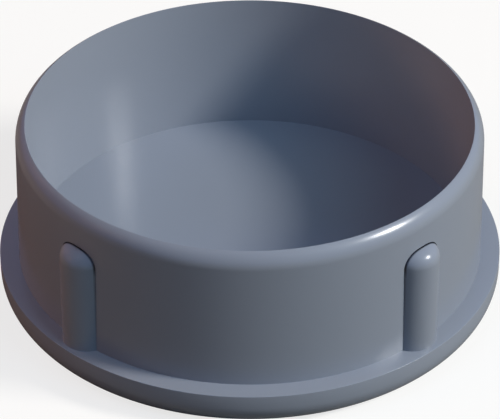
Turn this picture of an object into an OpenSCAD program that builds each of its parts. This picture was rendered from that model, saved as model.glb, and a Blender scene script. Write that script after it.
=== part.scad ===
// Round end plug for a tube. A thick head covers the tube's cut end, and a thin-walled cup goes
// into the bore, where round-topped ribs are squeezed and hold it.
// The head lies face down at z = 0 and the cup opens upwards, round the Z axis.

/* [Tube] */
// Outside diameter of the tube, which the head covers flush
tube_d = 50; // [40:1:80]
// Wall thickness of the tube
tube_wall = 1; // [0.8:0.1:3]

/* [Head] */
// Thickness of the head, and of the cup's floor
head_t = 4; // [3.2:0.1:8]
// Rounding of the head's outer edge
head_edge_r = 2.6; // [0.5:0.1:3]

/* [Cup] */
// Length of the cup above the head
cup_l = 14.8; // [12:0.1:40]
// Gap all round between the foot of the cup and the bore
cup_gap = 0.9; // [0.5:0.1:1.3]
// Wall thickness of the cup where its rim starts to round over
cup_wall = 1; // [0.8:0.1:1.8]
// Draft of the cup's outer face, in degrees
outer_draft = 0.75; // [0:0.05:1.5]
// Draft of the cup's inner face, in degrees
inner_draft = 0.5; // [0:0.05:1.5]
// Rounding that leads the rim into the bore
rim_r = 2; // [0.5:0.1:4]

/* [Ribs] */
// Number of ribs round the cup
rib_count = 4; // [3:1:12]
// Angle from +X to the first rib
rib_start = 45; // [0:5:90]
// Radius of a rib's round section
rib_r = 2.4; // [2:0.1:3]
// Rounding of the edge round a rib's top, which leads it into the bore
rib_top_r = 1.6; // [0.5:0.1:1.8]
// Distance from the rim down to the top of a rib
rib_setback = 3.7; // [2.4:0.1:6]
// Squeeze of a rib's crest in the bore
rib_squeeze = 0.5; // [0.1:0.05:0.6]

/* [Hidden] */
$fn = 144;
sink = 0.5; // depth at which the cup and the ribs start inside the head
over = 1; // how far the cutter of the hollow passes the rim
head_r = tube_d / 2;
bore_r = head_r - tube_wall;
foot_r = bore_r - cup_gap;
rim_z = head_t + cup_l;
// The arc over the rim starts upright at the end of the drafted face and ends at the hollow's edge
rim_arc_rise = sqrt(pow(rim_r, 2) - pow(max(0, rim_r - cup_wall), 2));
rim_arc_z = rim_z - rim_arc_rise;
face_end_r = foot_r - (rim_arc_z - head_t) * tan(outer_draft);
rim_arc_x = face_end_r - rim_r;
hollow_rim_r = face_end_r - cup_wall;
hollow_floor_r = hollow_rim_r - cup_l * tan(inner_draft);
rib_axis_r = bore_r + rib_squeeze - rib_r;
rib_straight_l = cup_l - rib_setback - rib_top_r;
rib_top_flat_r = rib_r - rib_top_r;

// Quarter of a disc, from +X up to the vertical
module round_over(r) {
    intersection() {
        circle(r = r);
        square(2 * r);
    }
}

// Half section of the head: a disc with its lower outer edge rounded
module head_section() {
    square([head_r - head_edge_r, head_t]);
    translate([0, head_edge_r])
        square([head_r, head_t - head_edge_r]);
    translate([head_r - head_edge_r, head_edge_r])
        mirror([0, 1])
            round_over(head_edge_r);
}

// Half section of the cup before it is hollowed, with the lead-in over its rim
module cup_section() {
    arc_top = rim_arc_z + rim_r;
    polygon([
        [0, head_t - sink],
        [foot_r, head_t - sink],
        [foot_r, head_t],
        [face_end_r, rim_arc_z],
        [rim_arc_x, rim_arc_z],
        [rim_arc_x, arc_top],
        [0, arc_top]
    ]);
    translate([rim_arc_x, rim_arc_z])
        round_over(rim_r);
}

// Half section of the hollow, whose floor is level with the top of the head
module hollow_section() {
    polygon([
        [0, head_t],
        [hollow_floor_r, head_t],
        [hollow_rim_r + over * tan(inner_draft), rim_z + over],
        [0, rim_z + over]
    ]);
}

// One rib on its own axis, standing on the head: a round bar with its top edge rounded over
module rib() {
    rotate_extrude() {
        translate([0, -sink])
            square([rib_r, rib_straight_l + sink]);
        square([rib_top_flat_r, rib_straight_l + rib_top_r]);
        translate([rib_top_flat_r, rib_straight_l])
            round_over(rib_top_r);
    }
}

module ribs() {
    for (i = [0 : rib_count - 1])
        rotate(rib_start + i * 360 / rib_count)
            translate([rib_axis_r, 0, head_t])
                rib();
}

// The whole moulding. The hollow is cut last, so that the ribs stand on the outer face only.
module end_plug() {
    color("lightslategray")
        difference() {
            union() {
                rotate_extrude() {
                    head_section();
                    cup_section();
                }
                ribs();
            }
            rotate_extrude()
                hollow_section();
        }
}

end_plug();
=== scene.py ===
# Round end plug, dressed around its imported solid
import bmesh
import bpy
import math
from mathutils import Matrix, Vector


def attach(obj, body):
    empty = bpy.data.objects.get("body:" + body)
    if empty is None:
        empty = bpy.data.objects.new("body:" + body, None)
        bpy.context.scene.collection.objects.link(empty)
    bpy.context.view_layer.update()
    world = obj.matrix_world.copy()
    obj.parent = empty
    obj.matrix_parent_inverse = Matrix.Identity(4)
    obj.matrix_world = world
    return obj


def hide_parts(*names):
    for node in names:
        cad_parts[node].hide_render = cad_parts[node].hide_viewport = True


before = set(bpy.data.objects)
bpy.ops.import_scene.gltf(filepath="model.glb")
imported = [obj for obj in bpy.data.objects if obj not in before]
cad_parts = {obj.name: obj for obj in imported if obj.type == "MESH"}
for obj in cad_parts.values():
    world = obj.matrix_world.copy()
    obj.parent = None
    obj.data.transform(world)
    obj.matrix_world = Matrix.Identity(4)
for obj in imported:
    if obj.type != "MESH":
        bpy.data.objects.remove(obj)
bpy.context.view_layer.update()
mm = 0.001
white = (1.0, 1.0, 1.0, 1.0)
black = (0.0, 0.0, 0.0, 1.0)


# camera: the photograph's viewing angle, with a long lens

camera = {
    "distance": 318.4 * mm,
    "elevation": 35.362,           # degrees above the floor
    "targetHeight": 7.878 * mm,
    "lens": 230.21,                # on a sensor 36 mm wide
    "sensor": 36.0,
    "shiftX": 0.0004,
    "nearest": 0.01,
    "farthest": 20.0,
}


def placeCamera(name, settings):
    data = bpy.data.cameras.new(name)
    data.lens = settings["lens"]
    data.sensor_width = settings["sensor"]
    data.shift_x = settings["shiftX"]
    data.clip_start = settings["nearest"]
    data.clip_end = settings["farthest"]
    rise = math.radians(settings["elevation"])
    target = Vector((0.0, 0.0, settings["targetHeight"]))
    back = Vector((0.0, -math.cos(rise), math.sin(rise)))
    made = bpy.data.objects.new(name, data)
    made.location = target + back * settings["distance"]
    made.rotation_euler = (-back).to_track_quat("-Z", "Y").to_euler()
    bpy.context.scene.collection.objects.link(made)
    bpy.context.scene.camera = made


placeCamera("camera", camera)
print("camera placed")


# nodes and meshes

tolerance = {
    "near": 0.01 * mm,             # places this close count as one when edges and faces are picked
    "merge": 0.001 * mm,
    "fineMerge": 0.0005 * mm,      # after the booleans
    "sliver": 0.0002 * mm,
    "cut": 0.0001 * mm,
}


def addNode(tree, kind, inputs=None, **options):
    node = tree.nodes.new(kind)
    for option, value in options.items():
        setattr(node, option, value)
    for socket, value in (inputs or {}).items():
        if isinstance(value, bpy.types.NodeSocket):
            tree.links.new(value, node.inputs[socket])
        else:
            node.inputs[socket].default_value = value
    return node


def mixColours(tree, share, first, second):
    # a colour Mix node has its factor on socket 0, its colours on 6 and 7 and its result on 2
    return addNode(tree, "ShaderNodeMix", {0: share, 6: first, 7: second}, data_type="RGBA").outputs[2]


def newTree(name):
    made = bpy.data.materials.new(name)
    made.use_nodes = True
    made.node_tree.nodes.clear()
    return made, made.node_tree


def meshObject(name, bm):
    mesh = bpy.data.meshes.new(name)
    bm.to_mesh(mesh)
    bm.free()
    made = bpy.data.objects.new(name, mesh)
    bpy.context.scene.collection.objects.link(made)
    return made


def allOf(bm):
    return bm.verts[:] + bm.edges[:] + bm.faces[:]


# profile drawing: a pen vertex in the XZ plane, pulled along lines and swung round arcs

def startProfile(x, z):
    bm = bmesh.new()
    return bm, bmesh.ops.create_vert(bm, co=(x, 0.0, z))["vert"][0]


def lineTo(bm, pen, x, z):
    tip = bmesh.ops.extrude_vert_indiv(bm, verts=[pen])["verts"][0]
    tip.co = (x, 0.0, z)
    return tip


def arcTo(bm, pen, x, z, degrees, steps):
    swung = bmesh.ops.spin(bm, geom=[pen], cent=(x, 0.0, z), axis=(0.0, -1.0, 0.0),
                           angle=math.radians(degrees), steps=steps, use_duplicate=False)
    return swung["geom_last"][0]


def turnProfile(bm, steps):
    bmesh.ops.spin(bm, geom=allOf(bm), cent=(0.0, 0.0, 0.0), axis=(0.0, 0.0, 1.0),
                   angle=math.tau, steps=steps, use_merge=True, use_duplicate=False)
    bmesh.ops.remove_doubles(bm, verts=bm.verts[:], dist=tolerance["merge"])
    bmesh.ops.recalc_face_normals(bm, faces=bm.faces[:])


# plug: head, cup and ribs in one closed mesh

plug = {
    "headR": 25.0 * mm,
    "headT": 4.0 * mm,
    "headRound": 2.6 * mm,
    "cupFootR": 23.1 * mm,
    "cupL": 14.8 * mm,
    "cupWall": 1.0 * mm,           # where the arc over the rim starts
    "rimRound": 2.0 * mm,
    "outerDraft": 0.75,            # degrees
    "innerDraft": 0.5,
    "turnSteps": 480,
    "headSteps": 20,
    "rimSteps": 16,
    "flatBorder": 0.3 * mm,        # last ring of the flat underside, which keeps it shading flat
    "headEdge": 0.04 * mm,         # tiny radii that break the sharp edges
    "rimEdge": 0.06 * mm,
    "edgeSteps": 3,
    "sharpFrom": 32.0,             # degrees between two faces
}
ribs = {
    "count": 4,
    "start": 45.0,                 # degrees
    "radius": 2.4 * mm,
    "axisR": 22.1 * mm,
    "topRound": 1.6 * mm,
    "topRoundZ": 13.5 * mm,        # where the rounding of the top starts
    "fadeZ": 12.6 * mm,            # an edge loop, where the painted shade along the groove is faint already
    "footZ": 3.5 * mm,             # sunk in the head
    "backR": 22.35 * mm,           # flat back, buried in the cup's wall
    "turnSteps": 160,
    "topSteps": 28,
}
grooveAndPaintedShade = {                        # fine groove round each rib that closes downwards, darkened further with painted shade
    "gap": 0.05 * mm,
    "footGap": 0.02 * mm,
    "footZ": 4.03 * mm,
    "backR": 22.55 * mm,
    "spread": 0.20 * mm,           # how far out on the rib the painted shade reaches
    "plateau": 0.60,               # the share of that which is at full tone
    "margin": 1.2,                 # faces count up to this many times the spread
    "faint": 0.35,                 # strength of the painted shade at fadeZ, from where it fades to nothing at the foot
}


def cupPlaces(settings):
    # where the cup's faces meet, worked out as in the part's source
    arc = math.acos(1.0 - settings["cupWall"] / settings["rimRound"])
    lean = math.tan(math.radians(settings["outerDraft"]))
    innerLean = math.tan(math.radians(settings["innerDraft"]))
    rimZ = settings["headT"] + settings["cupL"]
    arcZ = rimZ - settings["rimRound"] * math.sin(arc)
    faceR = settings["cupFootR"] - (arcZ - settings["headT"]) * lean
    innerR = faceR - settings["cupWall"]
    return {
        "arc": math.degrees(arc),
        "lean": lean,
        "rimZ": rimZ,
        "arcZ": arcZ,
        "faceR": faceR,
        "innerR": innerR,
        "floorR": innerR - settings["cupL"] * innerLean,
    }


def makeBody(settings, cup):
    rounding = settings["headRound"]
    flatR = settings["headR"] - rounding
    bm, pen = startProfile(0.0, 0.0)
    pen = lineTo(bm, pen, flatR - settings["flatBorder"], 0.0)
    pen = lineTo(bm, pen, flatR, 0.0)
    pen = arcTo(bm, pen, flatR, rounding, 90.0, settings["headSteps"])
    pen = lineTo(bm, pen, settings["headR"], settings["headT"])
    pen = lineTo(bm, pen, settings["cupFootR"], settings["headT"])
    pen = lineTo(bm, pen, cup["faceR"], cup["arcZ"])
    pen = arcTo(bm, pen, cup["faceR"] - settings["rimRound"], cup["arcZ"], cup["arc"], settings["rimSteps"])
    pen = lineTo(bm, pen, cup["floorR"], settings["headT"])
    pen = lineTo(bm, pen, 0.0, settings["headT"])
    turnProfile(bm, settings["turnSteps"])
    return bm


def ringEdges(bm, radius, height):
    near = tolerance["near"]
    on = {v for v in bm.verts if abs(v.co.z - height) < near and abs(v.co.xy.length - radius) < near}
    return [e for e in bm.edges if e.verts[0] in on and e.verts[1] in on]


def breakEdge(bm, radius, height, size, steps):
    bmesh.ops.bevel(bm, geom=ringEdges(bm, radius, height), offset=size, segments=steps,
                    affect="EDGES", profile=0.5, material=-1)


def addRibs(name, settings, grow, growFoot, footZ, backR):
    rounding = settings["topRound"] + grow
    flat = settings["radius"] - settings["topRound"]
    bm, pen = startProfile(0.0, settings["topRoundZ"] + rounding)
    pen = lineTo(bm, pen, flat, settings["topRoundZ"] + rounding)
    pen = arcTo(bm, pen, flat, settings["topRoundZ"], -90.0, settings["topSteps"])
    pen = lineTo(bm, pen, settings["radius"] + growFoot, footZ)
    pen = lineTo(bm, pen, 0.0, footZ)
    turnProfile(bm, settings["turnSteps"])
    bmesh.ops.translate(bm, verts=bm.verts[:], vec=(settings["axisR"], 0.0, 0.0))
    bmesh.ops.bisect_plane(bm, geom=allOf(bm), dist=tolerance["cut"],
                           plane_co=(0.0, 0.0, settings["fadeZ"]), plane_no=(0.0, 0.0, 1.0))
    cut = bmesh.ops.bisect_plane(bm, geom=allOf(bm), dist=tolerance["cut"],
                                 plane_co=(backR, 0.0, 0.0), plane_no=(1.0, 0.0, 0.0), clear_inner=True)
    rim = [e for e in cut["geom_cut"] if isinstance(e, bmesh.types.BMEdge)]
    bmesh.ops.holes_fill(bm, edges=rim, sides=0)
    bmesh.ops.recalc_face_normals(bm, faces=bm.faces[:])
    one = allOf(bm)
    start = Matrix.Rotation(math.radians(settings["start"]), 3, "Z")
    turn = Matrix.Rotation(math.tau / settings["count"], 3, "Z")
    bmesh.ops.rotate(bm, verts=bm.verts[:], matrix=start)
    for copy in range(settings["count"] - 1):
        made = bmesh.ops.duplicate(bm, geom=one)["geom"]
        bmesh.ops.rotate(bm, verts=[g for g in made if isinstance(g, bmesh.types.BMVert)], matrix=turn)
        one = made
    return meshObject(name, bm)


def cutAndJoin(piece, changes):
    for operation, tool in changes:
        change = piece.modifiers.new(operation.lower(), "BOOLEAN")
        change.operation = operation
        change.object = tool
        change.solver = "EXACT"
    bpy.context.view_layer.update()
    shaped = piece.evaluated_get(bpy.context.evaluated_depsgraph_get())
    mesh = bpy.data.meshes.new_from_object(shaped)
    piece.modifiers.clear()
    piece.data = mesh
    for operation, tool in changes:
        bpy.data.objects.remove(tool)


def smoothShade(piece, degrees):
    bm = bmesh.new()
    bm.from_mesh(piece.data)
    bmesh.ops.remove_doubles(bm, verts=bm.verts[:], dist=tolerance["fineMerge"])
    bmesh.ops.dissolve_degenerate(bm, dist=tolerance["sliver"], edges=bm.edges[:])
    for face in bm.faces:
        face.smooth = True
    for edge in bm.edges:
        edge.smooth = edge.is_manifold and edge.calc_face_angle(0.0) < math.radians(degrees)
    loose = [e for e in bm.edges if not e.is_manifold]
    print("edges that aren't closed:", len(loose), "faces:", len(bm.faces))
    bm.to_mesh(piece.data)
    bm.free()


def paintGrooveShade(piece, settings, grooveShade, wall, cup):
    # painted shade along the groove: full from topRoundZ up, faint at fadeZ and gone at the foot
    bm = bmesh.new()
    bm.from_mesh(piece.data)
    # per-corner mask of where the groove round each rib's root is darkened with painted shade
    mark = bm.loops.layers.float.new("grooveAndPaintedShade")
    share = 360.0 / settings["count"]
    near = tolerance["near"]
    reach = settings["radius"] + grooveShade["gap"] + near

    def downShare(z):
        if z > settings["fadeZ"]:
            along = (z - settings["fadeZ"]) / (settings["topRoundZ"] - settings["fadeZ"])
            return min(1.0, grooveShade["faint"] + (1.0 - grooveShade["faint"]) * along)
        return max(0.0, grooveShade["faint"] * (z - grooveShade["footZ"]) / (settings["fadeZ"] - grooveShade["footZ"]))

    def overWall(point):
        return point.xy.length - wall["cupFootR"] + (point.z - wall["headT"]) * cup["lean"]

    for face in bm.faces:
        centre = face.calc_center_median()
        turned = (math.degrees(math.atan2(centre.y, centre.x)) - settings["start"]) % share
        fromRib = math.radians(min(turned, share - turned))
        out = centre.xy.length
        away = math.hypot(out * math.cos(fromRib) - settings["axisR"], out * math.sin(fromRib))
        outside = grooveShade["backR"] - near < out and overWall(centre) < grooveShade["spread"] * grooveShade["margin"]
        flush = all(abs(overWall(v.co)) < near for v in face.verts)
        if outside and away < reach and not flush and grooveShade["footZ"] < centre.z < cup["arcZ"]:
            for corner in face.loops:
                outward = overWall(corner.vert.co) / grooveShade["spread"] - grooveShade["plateau"]
                outward = min(1.0, max(0.0, outward / (1.0 - grooveShade["plateau"])))
                corner[mark] = downShare(corner.vert.co.z) * (1.0 - outward)
    bm.to_mesh(piece.data)
    bm.free()


cupSizes = cupPlaces(plug)
body = makeBody(plug, cupSizes)
breakEdge(body, plug["headR"], plug["headT"], plug["headEdge"], plug["edgeSteps"])
breakEdge(body, cupSizes["innerR"], cupSizes["rimZ"], plug["rimEdge"], plug["edgeSteps"])
plugPiece = meshObject("plug_moulding", body)
grooveTool = addRibs("groove_tool", ribs, grow=grooveAndPaintedShade["gap"], growFoot=grooveAndPaintedShade["footGap"],
                     footZ=grooveAndPaintedShade["footZ"], backR=grooveAndPaintedShade["backR"])
ribTool = addRibs("rib_tool", ribs, grow=0.0, growFoot=0.0, footZ=ribs["footZ"], backR=ribs["backR"])
cutAndJoin(plugPiece, [("DIFFERENCE", grooveTool), ("UNION", ribTool)])
smoothShade(plugPiece, plug["sharpFrom"])
paintGrooveShade(plugPiece, ribs, grooveAndPaintedShade, plug, cupSizes)
print("plug made")


# blue-grey moulded plastic, with near-black painted shade in the grooves round the ribs

plastic = {
    "tone": (0.235, 0.265, 0.330, 1.0),
    "toneDeep": (0.231, 0.261, 0.326, 1.0),
    # near-black painted shade for the grooves round the ribs' roots
    "paintedShadeTone": (0.012, 0.015, 0.022, 1.0),
    "roughness": 0.24,
    "roughnessSpread": 0.02,
    "specular": 0.5,
    "flow": 140.0,                 # slow change of tone and roughness, in waves per metre
    "flowDetail": 3.0,
    "flowLow": 0.3,                # the noise's usual range
    "flowHigh": 0.7,
    "grain": 2200.0,               # mould texture
    "grainDetail": 4.0,
    "grainBump": 0.012,
    "grainDepth": 0.05 * mm,
}


def makePlastic(name, settings):
    made, tree = newTree(name)
    place = addNode(tree, "ShaderNodeTexCoord").outputs["Object"]
    flow = addNode(tree, "ShaderNodeTexNoise", {
        "Vector": place,
        "Scale": settings["flow"],
        "Detail": settings["flowDetail"],
    }).outputs["Fac"]
    grain = addNode(tree, "ShaderNodeTexNoise", {
        "Vector": place,
        "Scale": settings["grain"],
        "Detail": settings["grainDetail"],
    }).outputs["Fac"]
    tone = mixColours(tree, flow, settings["toneDeep"], settings["tone"])
    # the groove mask mixes the painted shade into the plastic's tone
    paintedShadeMask = addNode(tree, "ShaderNodeAttribute", attribute_name="grooveAndPaintedShade").outputs["Fac"]
    toneWithPaintedShade = mixColours(tree, paintedShadeMask, tone, settings["paintedShadeTone"])
    half = settings["roughnessSpread"] / 2.0
    rough = addNode(tree, "ShaderNodeMapRange", {
        "Value": flow,
        "From Min": settings["flowLow"],
        "From Max": settings["flowHigh"],
        "To Min": settings["roughness"] - half,
        "To Max": settings["roughness"] + half,
    })
    bump = addNode(tree, "ShaderNodeBump", {
        "Height": grain,
        "Strength": settings["grainBump"],
        "Distance": settings["grainDepth"],
    })
    shader = addNode(tree, "ShaderNodeBsdfPrincipled", {
        "Base Color": toneWithPaintedShade,
        "Roughness": rough.outputs["Result"],
        "Specular IOR Level": settings["specular"],
        "Normal": bump.outputs["Normal"],
    })
    addNode(tree, "ShaderNodeOutputMaterial", {"Surface": shader.outputs["BSDF"]})
    return made


plugPiece.data.materials.clear()
plugPiece.data.materials.append(makePlastic("moulded_plastic_finish", plastic))
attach(plugPiece, "root")
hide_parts("end_plug")
print("plastic made")


# floor: white to the camera, darker in what it lights and in reflections, and it keeps the plug's shadow

def paintByRay(tree, rays, settings):
    mirrored = addNode(tree, "ShaderNodeMath", {
        0: rays["Is Glossy Ray"],
        1: rays["Is Transmission Ray"],
    }, operation="MAXIMUM").outputs[0]
    unseen = mixColours(tree, mirrored, settings["paint"], settings["mirroredPaint"])
    return mixColours(tree, rays["Is Camera Ray"], unseen, settings["seenPaint"])


floor = {
    "radius": 4.0,
    "steps": 96,
    "drop": 0.02 * mm,
    "paint": (0.10, 0.102, 0.105, 1.0),    # what lights the plug from below
    "mirroredPaint": (0.3, 0.3, 0.3, 1.0),
    "seenPaint": (0.92, 0.92, 0.92, 1.0),
    "shadowShare": 0.25,           # how much of the real shading shows through the white
}


def makeFloor(name, settings):
    bm = bmesh.new()
    bmesh.ops.create_circle(bm, cap_ends=True, segments=settings["steps"], radius=settings["radius"])
    bmesh.ops.translate(bm, verts=bm.verts[:], vec=(0.0, 0.0, -settings["drop"]))
    made = meshObject(name, bm)
    paint, tree = newTree(name + "_paint")
    rays = addNode(tree, "ShaderNodeLightPath").outputs
    share = addNode(tree, "ShaderNodeMath", {
        0: rays["Is Camera Ray"],
        1: 1.0 - settings["shadowShare"],
    }, operation="MULTIPLY")
    matt = addNode(tree, "ShaderNodeBsdfDiffuse", {"Color": paintByRay(tree, rays, settings)})
    bright = addNode(tree, "ShaderNodeEmission", {"Color": white, "Strength": 1.0})
    mixed = addNode(tree, "ShaderNodeMixShader", {
        0: share.outputs[0],
        1: matt.outputs[0],
        2: bright.outputs[0],
    })
    addNode(tree, "ShaderNodeOutputMaterial", {"Surface": mixed.outputs[0]})
    made.data.materials.append(paint)


makeFloor("floor", floor)
print("floor made")


# studio light: soft discs, placed in degrees round from +X and above the floor
# a "light" lamp isn't mirrored in the plastic, and a "gloss" lamp makes nothing but the highlight

lamps = {
    "key": {
        "kind": "light",
        "azimuth": -13.0,
        "elevation": 36.8,
        "distance": 1.4,
        "size": 0.31,
        "strength": 19.65,
        "colour": (1.0, 0.922, 0.811),
    },
    "keyShine": {
        "kind": "gloss",
        "azimuth": -16.0,
        "elevation": 36.5,
        "distance": 1.4,
        "size": 0.22,
        "strength": 15.5,
        "colour": (1.0, 1.0, 1.0),
    },
    "coolFront": {
        "kind": "light",
        "azimuth": -35.0,
        "elevation": 42.0,
        "distance": 1.2,
        "size": 0.8,
        "strength": 5.16,
        "colour": (0.601, 0.853, 1.0),
    },
    "coolTop": {
        "kind": "light",
        "azimuth": -135.0,
        "elevation": 62.0,
        "distance": 1.2,
        "size": 0.6,
        "strength": 2.13,
        "colour": (0.606, 0.731, 1.0),
    },
    "warmLeft": {
        "kind": "light",
        "azimuth": -165.0,
        "elevation": 25.0,
        "distance": 1.2,
        "size": 0.4,
        "strength": 1.74,
        "colour": (1.0, 0.525, 0.266),
    },
    "warmBack": {
        "kind": "light",
        "azimuth": 150.0,
        "elevation": 18.0,
        "distance": 1.2,
        "size": 0.4,
        "strength": 3.35,
        "colour": (1.0, 0.468, 0.247),
    },
}
sky = {                            # lights nothing, and shows only in reflections
    "paint": black,
    "mirroredPaint": (0.284, 0.354, 0.626, 1.0),
    "seenPaint": white,
}


def hangLamp(name, settings, height):
    data = bpy.data.lights.new(name, "AREA")
    data.shape = "DISK"
    data.size = settings["size"]
    data.energy = settings["strength"]
    data.color = settings["colour"]
    rise = math.radians(settings["elevation"])
    swing = math.radians(settings["azimuth"])
    aim = Vector((math.cos(rise) * math.cos(swing), math.cos(rise) * math.sin(swing), math.sin(rise)))
    made = bpy.data.objects.new(name, data)
    made.location = aim * settings["distance"] + Vector((0.0, 0.0, height))
    made.rotation_euler = (-aim).to_track_quat("-Z", "Y").to_euler()
    made.visible_glossy = settings["kind"] != "light"
    made.visible_diffuse = settings["kind"] != "gloss"
    bpy.context.scene.collection.objects.link(made)


def paintSky(name, settings):
    made = bpy.data.worlds.new(name)
    made.use_nodes = True
    tree = made.node_tree
    tree.nodes.clear()
    rays = addNode(tree, "ShaderNodeLightPath").outputs
    light = addNode(tree, "ShaderNodeBackground", {
        "Color": paintByRay(tree, rays, settings),
        "Strength": 1.0,
    })
    addNode(tree, "ShaderNodeOutputWorld", {"Surface": light.outputs[0]})
    bpy.context.scene.world = made


for lampName, lampSettings in lamps.items():
    hangLamp(lampName, lampSettings, plug["headT"])
paintSky("studio", sky)
bpy.context.scene.view_settings.view_transform = "Standard"
print("studio lit")
